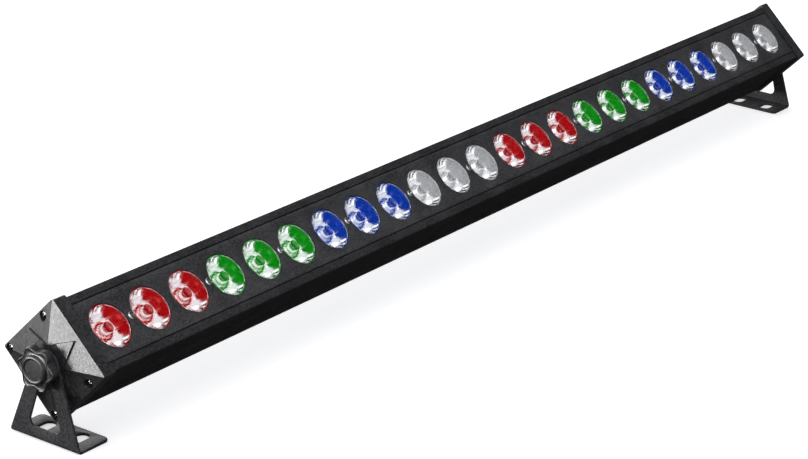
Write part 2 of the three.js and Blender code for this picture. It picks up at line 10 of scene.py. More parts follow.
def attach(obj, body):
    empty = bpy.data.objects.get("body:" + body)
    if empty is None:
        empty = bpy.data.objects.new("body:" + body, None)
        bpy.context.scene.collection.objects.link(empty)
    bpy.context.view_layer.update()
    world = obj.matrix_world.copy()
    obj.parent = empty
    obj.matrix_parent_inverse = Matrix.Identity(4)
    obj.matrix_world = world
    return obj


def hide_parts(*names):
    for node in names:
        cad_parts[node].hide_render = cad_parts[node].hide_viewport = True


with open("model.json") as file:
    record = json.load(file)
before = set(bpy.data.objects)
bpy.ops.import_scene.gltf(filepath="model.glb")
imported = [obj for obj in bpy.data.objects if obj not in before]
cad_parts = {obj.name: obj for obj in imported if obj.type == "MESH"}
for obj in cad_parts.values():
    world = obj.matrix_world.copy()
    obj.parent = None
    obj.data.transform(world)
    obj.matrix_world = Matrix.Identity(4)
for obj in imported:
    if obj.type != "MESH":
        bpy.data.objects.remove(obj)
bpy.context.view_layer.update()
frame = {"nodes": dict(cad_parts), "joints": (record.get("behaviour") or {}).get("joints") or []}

MM = 0.001
TAU = 2 * math.pi
Q = math.pi / 2  # a quarter turn

joints = {j["name"]: j for j in frame["joints"]}
PIVOT = joints["left_bracket_swing"]["pos_m"][2]
OUT_OF_FACE = Vector(joints["menu_key_1_press"]["axis"])
LEAN = math.atan2(-OUT_OF_FACE.y, OUT_OF_FACE.z)
# The head's own axes, in millimetres about the pivot line:
# X along the bar, Y up its face, Z out of its face.
HEAD = Matrix.Translation((0, 0, PIVOT)) @ Matrix.Rotation(LEAN, 4, "X") @ Matrix.Scale(MM, 4)
UPRIGHT = Matrix.Scale(MM, 4)
TO_HEAD = HEAD.inverted()


def head_box(node):
    """Lowest and highest corner of a CAD node in the head's own axes, in millimetres."""
    points = [TO_HEAD @ v.co for v in frame["nodes"][node].data.vertices]
    low = Vector([min(p[i] for p in points) for i in range(3)])
    high = Vector([max(p[i] for p in points) for i in range(3)])
    return low, high


# ------------------------------------------------------------------ camera, floor, light


CAMERA_PLACE = (-1.6468, -1.01606, 0.7254)
CAMERA_FORWARD = (0.78349727, 0.51401209, -0.34917559)
CAMERA_UP = (0.25766477, 0.24259831, 0.93528334)
CAMERA_LENS = 115.85  # millimetres, on a 36 mm sensor

GROUND_GLOW = (0.03, 0.03, 0.032, 1)
SKY_GLOW = (0.95, 0.96, 1.0, 1)
HORIZON = (0.44, 0.62)  # from ground glow to sky glow, where 0 is straight down and 1 straight up
# A dim patch of the sky, so that the optics mirror little there and their colour shows.
PATCH_WAY = (0.79, -0.3, 0.535)
PATCH_CORE, PATCH_EDGE = math.radians(28), math.radians(50)
PATCH_GLOW = 0.03

FLOOR_REACH = 9.0
FLOOR_GREY = 0.9
FLOOR_GLOW = 0.45


def aim(obj, forward, up):
    """Points an object's -Z forward, with its Y as near up as it goes."""
    forward = Vector(forward).normalized()
    right = forward.cross(Vector(up)).normalized()
    up = right.cross(forward)
    obj.rotation_mode = "QUATERNION"
    obj.rotation_quaternion = Matrix((right, up, -forward)).transposed().to_quaternion()


def add_camera():
    data = bpy.data.cameras.new("camera")
    data.sensor_width = 36
    data.lens = CAMERA_LENS
    data.clip_start, data.clip_end = 0.05, 50
    camera = bpy.data.objects.new("camera", data)
    camera.location = CAMERA_PLACE
    aim(camera, CAMERA_FORWARD, CAMERA_UP)
    bpy.context.scene.collection.objects.link(camera)
    bpy.context.scene.camera = camera


def add_softbox(name, place, target, size, power):
    data = bpy.data.lights.new(name, "AREA")
    data.shape = "RECTANGLE"
    data.size, data.size_y = size
    data.energy = power
    light = bpy.data.objects.new(name, data)
    light.location = place
    aim(light, Vector(target) - Vector(place), (0, 0.01, 1))
    bpy.context.scene.collection.objects.link(light)


def mapped(tree, value, low, high, start=0.3, end=0.7):
    """A value between start and end, spread from low to high."""
    node = tree.nodes.new("ShaderNodeMapRange")
    node.inputs["From Min"].default_value = start
    node.inputs["From Max"].default_value = end
    node.inputs["To Min"].default_value = low
    node.inputs["To Max"].default_value = high
    tree.links.new(value, node.inputs["Value"])
    return node.outputs["Result"]


def add_world():
    """White behind everything. As a light it is bright above the horizon, dim below it and in one patch."""
    world = bpy.data.worlds.new("studio")
    world.use_nodes = True
    tree = world.node_tree
    tree.nodes.clear()
    out = tree.nodes.new("ShaderNodeOutputWorld")
    mix = tree.nodes.new("ShaderNodeMixShader")
    path = tree.nodes.new("ShaderNodeLightPath")
    seen = tree.nodes.new("ShaderNodeBackground")
    seen.inputs["Color"].default_value = (1, 1, 1, 1)
    light = tree.nodes.new("ShaderNodeBackground")
    coords = tree.nodes.new("ShaderNodeTexCoord")
    split = tree.nodes.new("ShaderNodeSeparateXYZ")
    ramp = tree.nodes.new("ShaderNodeValToRGB")
    for element, place, glow in zip(ramp.color_ramp.elements, HORIZON, (GROUND_GLOW, SKY_GLOW)):
        element.position = place
        element.color = glow
    height = tree.nodes.new("ShaderNodeMath")
    height.operation = "MULTIPLY_ADD"
    height.inputs[1].default_value = 0.5
    height.inputs[2].default_value = 0.5
    tree.links.new(coords.outputs["Generated"], split.inputs[0])
    tree.links.new(split.outputs["Z"], height.inputs[0])
    tree.links.new(height.outputs[0], ramp.inputs[0])
    tree.links.new(ramp.outputs["Color"], light.inputs["Color"])
    towards = tree.nodes.new("ShaderNodeVectorMath")
    towards.operation = "DOT_PRODUCT"
    towards.inputs[1].default_value = Vector(PATCH_WAY).normalized()
    tree.links.new(coords.outputs["Generated"], towards.inputs[0])
    edge, core = math.cos(PATCH_EDGE), math.cos(PATCH_CORE)
    dimmed = mapped(tree, towards.outputs["Value"], 1.0, PATCH_GLOW, edge, core)
    tree.links.new(dimmed, light.inputs["Strength"])
    tree.links.new(path.outputs["Is Camera Ray"], mix.inputs[0])
    tree.links.new(light.outputs[0], mix.inputs[1])
    tree.links.new(seen.outputs[0], mix.inputs[2])
    tree.links.new(mix.outputs[0], out.inputs["Surface"])
    bpy.context.scene.world = world


def add_floor():
    """A pale floor that no surface mirrors. It glows a little, so that it fades into the white."""
    mesh = bpy.data.meshes.new("floor")
    corners = [(x * FLOOR_REACH, y * FLOOR_REACH, 0) for x, y in ((-1, -1), (1, -1), (1, 1), (-1, 1))]
    mesh.from_pydata(corners, [], [(0, 1, 2, 3)])
    floor = bpy.data.objects.new("floor", mesh)
    bpy.context.scene.collection.objects.link(floor)
    floor_paint = bpy.data.materials.new("floor_paint")
    floor_paint.use_nodes = True
    shader = floor_paint.node_tree.nodes["Principled BSDF"]
    shader.inputs["Base Color"].default_value = (FLOOR_GREY, FLOOR_GREY, FLOOR_GREY, 1)
    shader.inputs["Roughness"].default_value = 0.9
    shader.inputs["Specular IOR Level"].default_value = 0.1
    shader.inputs["Emission Color"].default_value = (1, 1, 1, 1)
    shader.inputs["Emission Strength"].default_value = FLOOR_GLOW
    mesh.materials.append(floor_paint)
    floor.visible_glossy = False
    floor.visible_diffuse = False


add_camera()
add_world()
add_floor()
# The left softbox stands low, its lower half under the floor.
add_softbox("left_softbox", (-2.1, 0.85, -0.1), (-0.5, 0, 0.06), (0.9, 0.7), 36)
add_softbox("back_left_softbox", (-1.75, 1.55, 0.2), (-0.5, 0, 0.08), (0.9, 0.5), 14)
add_softbox("top_softbox", (-0.6, -0.7, 2.2), (0, 0, 0), (2.4, 1.2), 14)
add_softbox("rear_softbox", (0.9, 2.2, 0.45), (0, 0, 0.08), (2.4, 0.8), 34)
bpy.context.scene.view_settings.view_transform = "Standard"

# ------------------------------------------------------------------ materials


def nodes_of(name):
    made = bpy.data.materials.new(name)
    made.use_nodes = True
    tree = made.node_tree
    return made, tree, tree.nodes["Principled BSDF"]


def noise(tree, coords, scale, detail=3.0, roughness=0.55):
    node = tree.nodes.new("ShaderNodeTexNoise")
    node.inputs["Scale"].default_value = scale
    node.inputs["Detail"].default_value = detail
    node.inputs["Roughness"].default_value = roughness
    tree.links.new(coords, node.inputs["Vector"])
    return node.outputs["Fac"]


def ramped(tree, value, stops):
    node = tree.nodes.new("ShaderNodeValToRGB")
    ramp = node.color_ramp
    while len(ramp.elements) < len(stops):
        ramp.elements.new(0.5)
    for element, (place, colour) in zip(ramp.elements, stops):
        element.position = place
        element.color = (*colour, 1)
    tree.links.new(value, node.inputs["Fac"])
    return node.outputs["Color"]


def bumped(tree, shader, height, distance):
    node = tree.nodes.new("ShaderNodeBump")
    node.inputs["Distance"].default_value = distance
    node.inputs["Strength"].default_value = 1.0
    tree.links.new(height, node.inputs["Height"])
    tree.links.new(node.outputs["Normal"], shader.inputs["Normal"])


FINE_SHARE, BROAD_SHARE = 0.78, 0.22


def finish_of(name, dark, light, rough, grain, depth,
              metallic=0.0, specular=0.5, cloud=45.0, stretch=(1, 1, 1)):
    """A surface whose colour and roughness speckle with a fine noise and drift with a broad one.

    Grain and cloud are the scales of the two noises, and depth is the height of the grain in metres."""
    made, tree, shader = nodes_of(name)
    coords = tree.nodes.new("ShaderNodeTexCoord").outputs["Object"]
    if stretch != (1, 1, 1):
        scaled = tree.nodes.new("ShaderNodeMapping")
        scaled.inputs["Scale"].default_value = stretch
        tree.links.new(coords, scaled.inputs["Vector"])
        coords = scaled.outputs["Vector"]
    fine = noise(tree, coords, grain, 4.0, 0.65)
    broad = noise(tree, coords, cloud, 2.0)
    add = tree.nodes.new("ShaderNodeMath")
    add.operation = "ADD"
    tree.links.new(mapped(tree, fine, 0, FINE_SHARE), add.inputs[0])
    tree.links.new(mapped(tree, broad, 0, BROAD_SHARE), add.inputs[1])
    colour = ramped(tree, add.outputs[0], [(0.3, dark), (0.7, light)])
    tree.links.new(colour, shader.inputs["Base Color"])
    tree.links.new(mapped(tree, add.outputs[0], rough[0], rough[1], 0, 1), shader.inputs["Roughness"])
    shader.inputs["Metallic"].default_value = metallic
    shader.inputs["Specular IOR Level"].default_value = specular
    bumped(tree, shader, fine, depth)
    return made


def grey(value, blue=1.04):
    return (value, value, value * blue)


BRUSHED = (0.1, 1, 1)  # a grain drawn out along X

HOUSING = finish_of("housing_powder_coat", grey(0.008), grey(0.044), (0.5, 0.68), 700, 0.00009, specular=0.3)
PANEL = finish_of("panel_powder_coat", grey(0.018), grey(0.06), (0.5, 0.7), 800, 0.0001, specular=0.3)
CAP = finish_of("cap_moulded_plastic", grey(0.014), grey(0.05), (0.26, 0.38), 600, 0.00006, specular=0.86)
BRACKET = finish_of("bracket_satin_paint", grey(0.014), grey(0.052), (0.46, 0.62), 600, 0.00014,
                    specular=0.22)
KNOB = finish_of("knob_moulded_plastic", grey(0.008), grey(0.032), (0.26, 0.38), 600, 0.00004, specular=0.75)
STEEL = finish_of("screw_zinc_plate", grey(0.42), grey(0.7), (0.12, 0.24), 2400, 0.000015,
                  metallic=1.0, cloud=300)
NICKEL = finish_of("cap_screw_nickel", grey(0.12), grey(0.34), (0.12, 0.24), 2400, 0.00002,
                   metallic=1.0, cloud=500)
RUBBER = finish_of("washer_rubber", grey(0.014), grey(0.03), (0.7, 0.85), 1200, 0.00005, specular=0.3)
SOCKET = finish_of("socket_plastic", grey(0.012), grey(0.026), (0.35, 0.5), 1400, 0.00003, specular=0.45)
KEY = finish_of("key_rubber", grey(0.06), grey(0.09), (0.6, 0.75), 1500, 0.00004, specular=0.3)
LATCH = finish_of("latch_steel", grey(0.4), grey(0.62), (0.25, 0.4), 900, 0.00002,
                  metallic=1.0, stretch=BRUSHED)
SUPPLY = finish_of("supply_sheet", grey(0.45), grey(0.62), (0.3, 0.45), 700, 0.00002,
                   metallic=1.0, stretch=BRUSHED)
BOARD = finish_of("white_solder_mask", grey(0.68, 0.98), grey(0.8, 0.98), (0.35, 0.5), 900, 0.00002)
CIRCUIT = finish_of("green_solder_mask", (0.01, 0.09, 0.03), (0.02, 0.16, 0.06), (0.3, 0.45), 700, 0.00002)
BRASS = finish_of("contact_brass", (0.45, 0.32, 0.12), (0.6, 0.46, 0.2), (0.22, 0.35), 1500, 0.00001,
                  metallic=1.0)
SMOKED = finish_of("display_smoked", grey(0.006), grey(0.012), (0.06, 0.12), 300, 0.000004, specular=0.6)
DIGIT = finish_of("digit_segments", grey(0.05, 0.9), grey(0.075, 0.9), (0.3, 0.4), 900, 0.00001)

# For each colour: the tint of the clear optic, the cup round it, and the die under it.
LENS_TINTS = {
    "red": ((1.0, 0.9, 0.91), (0.5, 0.0, 0.003), (1.0, 0.12, 0.12)),
    "green": ((0.9, 1.0, 0.91), (0.0, 0.33, 0.004), (0.15, 0.9, 0.2)),
    "blue": ((0.88, 0.92, 1.0), (0.0, 0.05, 0.45), (0.12, 0.25, 1.0)),
    "white": ((0.98, 0.98, 0.99), (0.5, 0.51, 0.52), (0.8, 0.8, 0.75)),
}
# Painted glow: the cups, diode packages and dies emit their colour though the bar is not lit, standing in for
# light through the optics.
CUP_PAINTED_GLOW = 0.55
DIE_PAINTED_GLOW = 0.8
PACKAGE_PAINTED_GLOW = 0.75
OPTIC_IOR = 1.59


def optic_material(colour):
    """Clear plastic with a trace of its colour and a faint haze."""
    tint = LENS_TINTS[colour][0]
    made, tree, shader = nodes_of(f"optic_{colour}")
    coords = tree.nodes.new("ShaderNodeTexCoord").outputs["Object"]
    haze = noise(tree, coords, 260, 2.0)
    shade = tuple(c * 0.97 for c in tint)
    tree.links.new(ramped(tree, haze, [(0.3, shade), (0.7, tint)]), shader.inputs["Base Color"])
    shader.inputs["Transmission Weight"].default_value = 1.0
    shader.inputs["IOR"].default_value = OPTIC_IOR
    tree.links.new(mapped(tree, haze, 0.012, 0.035), shader.inputs["Roughness"])
    return made


def painted_glow_material(name, deep, glow):
    """A moulding with a painted glow: it emits its own colour, standing in for the light that would reach it
    through the clear front of an optic.
    """
    made, tree, shader = nodes_of(name)
    coords = tree.nodes.new("ShaderNodeTexCoord").outputs["Object"]
    cloudy = noise(tree, coords, 420, 3.0)
    rich = tuple(c * 0.72 for c in deep)
    tone = ramped(tree, cloudy, [(0.3, rich), (0.7, deep)])
    tree.links.new(tone, shader.inputs["Base Color"])
    tree.links.new(tone, shader.inputs["Emission Color"])
    # The painted glow, in the moulding's own colour.
    shader.inputs["Emission Strength"].default_value = glow
    shader.inputs["Specular IOR Level"].default_value = 0.15
    tree.links.new(mapped(tree, cloudy, 0.22, 0.36), shader.inputs["Roughness"])
    bumped(tree, shader, cloudy, 0.00003)
    return made


# ------------------------------------------------------------------ outlines and meshes, in millimetres


def arc(cx, cy, r, start, end, steps):
    """Points on a circle, from the start angle to the end angle."""
    angles = [start + (end - start) * i / steps for i in range(steps + 1)]
    return [(cx + r * math.cos(a), cy + r * math.sin(a)) for a in angles]


def circle(cx, cy, r, steps):
    return arc(cx, cy, r, 0, TAU, steps)[:-1]


def rounded_box(x0, x1, y0, y1, r, steps=8):
    return [
        *arc(x1 - r, y0 + r, r, -Q, 0, steps),
        *arc(x1 - r, y1 - r, r, 0, Q, steps),
        *arc(x0 + r, y1 - r, r, Q, 2 * Q, steps),
        *arc(x0 + r, y0 + r, r, 2 * Q, 3 * Q, steps),
    ]


def slot_outline(cx, cy, length, width):
    reach = (length - width) / 2
    r = width / 2
    return [*arc(cx + reach, cy, r, -Q, Q, 16), *arc(cx - reach, cy, r, Q, 3 * Q, 16)]


def mesh_from(bm):
    bmesh.ops.recalc_face_normals(bm, faces=bm.faces)
    mesh = bpy.data.meshes.new("part")
    bm.to_mesh(mesh)
    bm.free()
    return mesh


def as_mesh(shape):
    return mesh_from(shape) if isinstance(shape, bmesh.types.BMesh) else shape


def merged(shapes):
    """Several closed shapes as one."""
    whole = bmesh.new()
    for shape in shapes:
        mesh = as_mesh(shape)
        whole.from_mesh(mesh)
        bpy.data.meshes.remove(mesh)
    return whole


def loft(rings):
    """A skin over rings of equally many points, filled at both ends."""
    bm = bmesh.new()
    rows = [[bm.verts.new(p) for p in ring] for ring in rings]
    count = len(rows[0])
    for a, b in zip(rows, rows[1:]):
        for i in range(count):
            j = (i + 1) % count
            bm.faces.new((a[i], a[j], b[j], b[i]))
    bm.faces.new(rows[0])
    bm.faces.new(rows[-1])
    return bm


def lathe(profile, steps, axis="Z"):
    """Turns (radius, height) points about an axis. A point on the axis becomes a single vertex."""
    bm = bmesh.new()
    rows = []
    for r, h in profile:
        count = 1 if r < 1e-9 else steps
        row = []
        for i in range(count):
            a = TAU * i / steps
            u, v = r * math.cos(a), r * math.sin(a)
            row.append(bm.verts.new((u, v, h) if axis == "Z" else (h, u, v)))
        rows.append(row)
    for a, b in zip(rows, rows[1:]):
        for i in range(steps):
            j = (i + 1) % steps
            face = [a[i % len(a)], a[j % len(a)], b[j % len(b)], b[i % len(b)]]
            face = list(dict.fromkeys(face))
            if len(face) > 2:
                bm.faces.new(face)
    bmesh.ops.remove_doubles(bm, verts=bm.verts, dist=1e-5)
    return bm


def prism(outline, h0, h1, axis="Z"):
    """An outline drawn out along an axis."""
    def at(u, v, h):
        return (u, v, h) if axis == "Z" else (h, u, v)

    return loft([[at(u, v, h) for u, v in outline] for h in (h0, h1)])


def evaluated(obj):
    """The object's mesh with its modifiers applied."""
    bpy.context.view_layer.update()
    graph = bpy.context.evaluated_depsgraph_get()
    return bpy.data.meshes.new_from_object(obj.evaluated_get(graph))


def scratch(mesh):
    obj = bpy.data.objects.new("scratch", mesh)
    bpy.context.scene.collection.objects.link(obj)
    return obj


def plate(outline, holes, h0, h1, edge, resolution=1):
    """A flat plate in XY with rounded edges, between two heights."""
    curve = bpy.data.curves.new("plate", "CURVE")
    curve.dimensions = "2D"
    curve.fill_mode = "BOTH"
    curve.extrude = (h1 - h0) / 2 - edge
    curve.bevel_depth = edge
    curve.bevel_resolution = resolution
    curve.offset = -edge
    for index, loop in enumerate([outline, *holes]):
        points = list(loop) if index == 0 else list(reversed(loop))
        spline = curve.splines.new("POLY")
        spline.points.add(len(points) - 1)
        for p, (x, y) in zip(spline.points, points):
            p.co = (x, y, 0, 1)
        spline.use_cyclic_u = True
    obj = scratch(curve)
    mesh = evaluated(obj)
    bpy.data.objects.remove(obj)
    mesh.transform(Matrix.Translation((0, 0, (h0 + h1) / 2)))
    bm = bmesh.new()
    bm.from_mesh(mesh)
    bpy.data.meshes.remove(mesh)
    bmesh.ops.remove_doubles(bm, verts=bm.verts, dist=1e-4)
    return bm


def combined(base, tools, operation):
    """The base mesh with the tools added or cut away."""
    body = scratch(as_mesh(base))
    others = [scratch(mesh_from(t)) for t in tools]
    for other in others:
        modifier = body.modifiers.new("boolean", "BOOLEAN")
        modifier.operation = operation
        modifier.solver = "EXACT"
        modifier.object = other
    mesh = evaluated(body)
    for obj in [body, *others]:
        bpy.data.objects.remove(obj)
    return mesh


def tidy(mesh, angle=1.0):
    """Merges faces that lie in one plane."""
    bm = bmesh.new()
    bm.from_mesh(mesh)
    bmesh.ops.remove_doubles(bm, verts=bm.verts, dist=1e-4)
    bmesh.ops.dissolve_limit(bm, angle_limit=math.radians(angle), verts=bm.verts, edges=bm.edges)
    bm.to_mesh(mesh)
    bm.free()
    return mesh


def shade(mesh, angle=32):
    """Smooth faces, with an edge kept sharp where it turns by more than the angle."""
    bm = bmesh.new()
    bm.from_mesh(mesh)
    for face in bm.faces:
        face.smooth = True
    for edge in bm.edges:
        edge.smooth = len(edge.link_faces) == 2 and edge.calc_face_angle(0) < math.radians(angle)
    bm.to_mesh(mesh)
    bm.free()


def flip(mesh):
    bm = bmesh.new()
    bm.from_mesh(mesh)
    bmesh.ops.reverse_faces(bm, faces=bm.faces)
    bm.to_mesh(mesh)
    bm.free()


def add_piece(name, shape, materials, body,
              replaces=(), matrix=HEAD, origin=None, bevel=None, angle=32):
    """Places a shape, given in millimetres, as a piece that rides on a body.

    With an origin the piece keeps its own axes there, so that its material's pattern is centred on it.
    A bevel is (width in millimetres, segments, least angle of an edge in degrees)."""
    mesh = as_mesh(shape)
    mesh.name = name
    shade(mesh, angle)
    for material in materials:
        mesh.materials.append(material)
    obj = bpy.data.objects.new(name, mesh)
    bpy.context.scene.collection.objects.link(obj)
    if origin is None:
        mesh.transform(matrix)
    else:
        mesh.transform(Matrix.Scale(MM, 4))
        turn = matrix.to_3x3().normalized().to_4x4()
        obj.matrix_world = Matrix.Translation(matrix @ Vector(origin)) @ turn
    if matrix.determinant() < 0 and origin is None:
        flip(mesh)
    if bevel:
        modifier = obj.modifiers.new("edge", "BEVEL")
        modifier.width = bevel[0] * MM
        modifier.segments = bevel[1]
        modifier.limit_method = "ANGLE"
        modifier.angle_limit = math.radians(bevel[2])
        modifier.harden_normals = True
        modifier.use_clamp_overlap = True
    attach(obj, body)
    if replaces:
        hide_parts(*replaces)
    return obj


def from_cad(node):
    """A copy of a CAD node's mesh in the head's axes, in millimetres, with its flat faces merged."""
    mesh = frame["nodes"][node].data.copy()
    mesh.materials.clear()
    mesh.transform(TO_HEAD)
    return tidy(mesh)


MIRROR = Matrix.Scale(-1, 4, (1, 0, 0))
ENDS = {"left": MIRROR, "right": Matrix.Identity(4)}

# ------------------------------------------------------------------ the face: panel, optics, screws

CAP_PLANE = 495.0  # the rim of a cap's outer side, from the middle of the bar
LENS_COUNT = 24
LENS_RADIUS = 15.8
LENS_SEAT = 20.0  # the height of an optic's own origin
PILLOW_PITCH, PILLOW_RISE = 1.3, 0.14
FRONT_RADIUS, FRONT_DOME = 14.9, 1.15
MIDDLE_RADIUS, MIDDLE_RISE = 7.0, 0.12  # the smooth middle of an optic's front
DIODE_TOP = 12.72


def lens_centre(index):
    low, high = head_box(f"lens_{index + 1:02d}")
    return (low.x + high.x) / 2


lens_x = [lens_centre(i) for i in range(LENS_COUNT)]
PITCH = (lens_x[-1] - lens_x[0]) / (LENS_COUNT - 1)


def front_height(p):
    """How far the front stands above its rim at a point."""
    r = p.length
    z = FRONT_DOME * (1 - (r / FRONT_RADIUS) ** 2)
    if MIDDLE_RADIUS < r < FRONT_RADIUS - 0.05:
        u, v = (2 * (c / PILLOW_PITCH - math.floor(c / PILLOW_PITCH)) - 1 for c in p)
        fade = min(1.0, (FRONT_RADIUS - r) / 0.8)
        z += PILLOW_RISE * fade * (2 - u * u - v * v) / 2
    elif r <= MIDDLE_RADIUS:
        z += MIDDLE_RISE * (1 - (r / MIDDLE_RADIUS) ** 2)
    return z


def optic_front(height):
    """The front of an optic: a shallow dome with a square grid of small pillows about a smooth middle."""
    spacing = PILLOW_PITCH / 3
    reach = int(FRONT_RADIUS / spacing) + 1
    points = []
    for i in range(-reach, reach + 1):
        for j in range(-reach, reach + 1):
            x, y = i * spacing, j * spacing
            if MIDDLE_RADIUS + 0.25 < math.hypot(x, y) < FRONT_RADIUS - 0.3:
                points.append((x, y))
    for ring in range(1, 7):
        points += circle(0, 0, MIDDLE_RADIUS * ring / 6, 8 * ring)
    rim = circle(0, 0, FRONT_RADIUS, 96)
    start = len(points)
    points += rim
    edges = [(start + i, start + (i + 1) % len(rim)) for i in range(len(rim))]
    found = geometry.delaunay_2d_cdt([Vector(p) for p in points], edges, [], 1, 1e-6)
    bm = bmesh.new()
    verts = [bm.verts.new((p.x, p.y, height + front_height(p))) for p in found[0]]
    for face in found[2]:
        bm.faces.new([verts[i] for i in face])
    return bm


def optic():
    """A moulded collimator: pillowed front, raised rim, straight cone and the pocket over the diode."""
    rim_low, rim_high = 25.3, 27.75
    cone_radius, base_radius, base, flare = 14.6, 8.0, 12.9, 0.95
    pocket_mouth, pocket_end, pocket_top, pocket_sag = 4.24, 3.89, 22.1, 1.1
    profile = [
        (FRONT_RADIUS, rim_high), (15.0, rim_high + 0.3), (15.12, rim_high + 0.36), (15.26, rim_high + 0.32),
        (15.4, rim_high + 0.02), (LENS_RADIUS - 0.1, rim_high - 0.04), (LENS_RADIUS, rim_high - 0.2),
        (LENS_RADIUS, rim_low), (cone_radius, rim_low),
    ]
    for i in range(1, 9):
        t = i / 8
        radius = cone_radius + (base_radius - cone_radius) * t
        profile.append((radius, rim_low + (base - rim_low) * t ** flare))
    profile += [(pocket_mouth, base), (pocket_end, pocket_top)]
    for i in range(1, 6):
        t = 1 - i / 6
        profile.append((pocket_end * t, pocket_top - pocket_sag * (1 - t * t)))
    profile.append((0, pocket_top - pocket_sag))
    bm = lathe(profile, 96)
    bm.from_mesh(mesh_from(optic_front(rim_high)))
    bmesh.ops.remove_doubles(bm, verts=bm.verts, dist=0.005)
    mesh = mesh_from(bm)
    mesh.transform(Matrix.Translation((0, 0, -LENS_SEAT)))
    return mesh


def joined(shapes):
    """One mesh from several shapes, the faces of each with a material slot of its own."""
    whole = bmesh.new()
    for index, shape in enumerate(shapes):
        part = mesh_from(shape)
        before = len(whole.faces)
        whole.from_mesh(part)
        whole.faces.ensure_lookup_table()
        for face in whole.faces[before:]:
            face.material_index = index
    mesh = bpy.data.meshes.new("joined")
    whole.to_mesh(mesh)
    whole.free()
    return mesh


def cup():
    """The moulded holder round an optic, the diode package, its ring and dome, and the die on the dome."""
    outer = [(9.2, 12.5), (11.1, 16.4), (13.2, 20.0), (15.1, 23.6), (16.15, 26.2)]
    inner = [(15.98, 26.2), (14.9, 24.95), (12.35, 20.0), (10.2, 16.4), (8.5, 13.0)]
    holder = lathe([*outer, *inner, outer[0]], 48)
    section = [(0, 12.4), (9.1, 12.4), (8.5, 12.98), (8.1, 12.75), (2.4, 12.75), (2.2, 12.7), (0, 12.7)]
    package = lathe(section, 48)
    low, high, inside, outside, edge = 12.74, 12.86, 4.7, 6.4, 0.1
    section = [(inside, low), (outside, low), (outside - edge, high), (inside + edge, high), (inside, low)]
    ring = lathe(section, 48)
    radius, rise = 3.7, 6.2
    top = DIODE_TOP + rise
    curve = [(radius * math.cos(Q * i / 8), DIODE_TOP + rise * math.sin(Q * i / 8)) for i in range(8)]
    dome = lathe([(0, DIODE_TOP), *curve, (0, top)], 36)
    die = lathe([(0, top - 1), (1.5, top - 1), (1.4, top - 0.2), (0.9, top + 0.22), (0, top + 0.32)], 24)
    mesh = joined([holder, package, merged([ring, dome]), die])
    mesh.transform(Matrix.Translation((0, 0, -LENS_SEAT)))
    return mesh


def add_optics():
    names = list(LENS_TINTS)
    glass = {c: optic_material(c) for c in names}
    # The cups, packages and dies get a painted glow.
    package = painted_glow_material("diode_package", (0.9, 0.9, 0.9), PACKAGE_PAINTED_GLOW)
    holder = {}
    for colour in names:
        cup_tint, die_tint = LENS_TINTS[colour][1:]
        holding = painted_glow_material(f"cup_{colour}", cup_tint, CUP_PAINTED_GLOW)
        holder[colour] = [holding, package, holding, painted_glow_material(f"die_{colour}", die_tint, DIE_PAINTED_GLOW)]
    shape, cup_shape = optic(), cup()
    for i, x in enumerate(lens_x):
        colour = names[(i // 3) % len(names)]
        label = f"{i + 1:02d}"
        seat = (x, 0, LENS_SEAT)
        add_piece(f"optic_{label}", shape.copy(), [glass[colour]], "light_head",
                  replaces=[f"lens_{label}"], origin=seat, angle=28)
        add_piece(f"optic_cup_{label}", cup_shape.copy(), holder[colour], "light_head", origin=seat)


def cross_screw(radius, rise, shank_radius, shank):
    """A pan-head screw along +Z, its head standing on 0, with a cross recess."""
    edge = radius * 0.16
    profile = [(0, -shank), (shank_radius, -shank), (shank_radius, 0), (radius, 0), (radius, edge)]
    for i in range(1, 7):
        a = Q * i / 7
        profile.append((radius * math.cos(a), edge + (rise - edge) * math.sin(a)))
    profile.append((0, rise))
    head = lathe(profile, 40)
    arm, half = radius * 0.8, radius * 0.25
    deep, above = -rise * 0.4, rise + 0.2
    corners = ((-1, -1), (1, -1), (1, 1), (-1, 1))
    tools = []
    for turn in (0, Q):
        tool = loft([
            [(u * arm * 0.45, v * half * 0.5, deep) for u, v in corners],
            [(u * arm, v * half, above) for u, v in corners],
        ])
        bmesh.ops.rotate(tool, verts=tool.verts, matrix=Matrix.Rotation(turn, 3, "Z"))
        tools.append(tool)
    return tidy(combined(head, tools, "DIFFERENCE"), 0.5)


def add_face():
    low, high = head_box("front_panel")
    outline = rounded_box(low.x, high.x, low.y, high.y, 1.0)
    gap, hole, shank = 0.45, 1.6, 1.4
    holes = [circle(x, 0, LENS_RADIUS + gap, 72) for x in lens_x]
    screw_x = [x + PITCH / 2 + 0.5 for x in lens_x[::2]]
    holes += [circle(x, 0, hole, 20) for x in screw_x]
    panel = plate(outline, holes, low.z, high.z, 0.25)
    add_piece("face_panel", panel, [PANEL], "light_head", replaces=["front_panel"])
    screw = cross_screw(2.8, 1.2, shank, 3.0)
    for i, x in enumerate(screw_x):
        turned = screw.copy()
        turned.transform(Matrix.Rotation(0.5 + 1.9 * i, 4, "Z"))
        turned.transform(Matrix.Translation((x, 0, high.z)))
        add_piece(f"face_screw_{i + 1:02d}", turned, [STEEL], "light_head")


add_optics()
add_face()

# ------------------------------------------------------------------ the extruded housing

housing_shape = from_cad("housing")
add_piece("housing_extrusion", housing_shape, [HOUSING], "light_head",
          replaces=["housing"], bevel=(0.3, 2, 38), angle=38)

# ------------------------------------------------------------------ the end caps

HUB_HALF = 9.4  # half the flat square on top of a cap
STAR_TIP, STAR_LIFT = 27.0, 1.75
CAP_WALL = 4.0
SEAT_RADIUS, SEAT_DEPTH = 9.4, 0.8  # the washer's seat
BOLT_BORE = 4.1
POCKET_RADIUS, POCKET_DEPTH, POCKET_HOLE = 3.4, 1.8, 1.8
PORT_Y, PORT_FRONT, PORT_REAR = 26.4, 15.5, -26.0
SCREW_PLACES = {
    "front_top": (PORT_Y, PORT_FRONT), "front_low": (-PORT_Y, PORT_FRONT),
    "rear_top": (PORT_Y, PORT_REAR), "rear_low": (-PORT_Y, PORT_REAR),
}


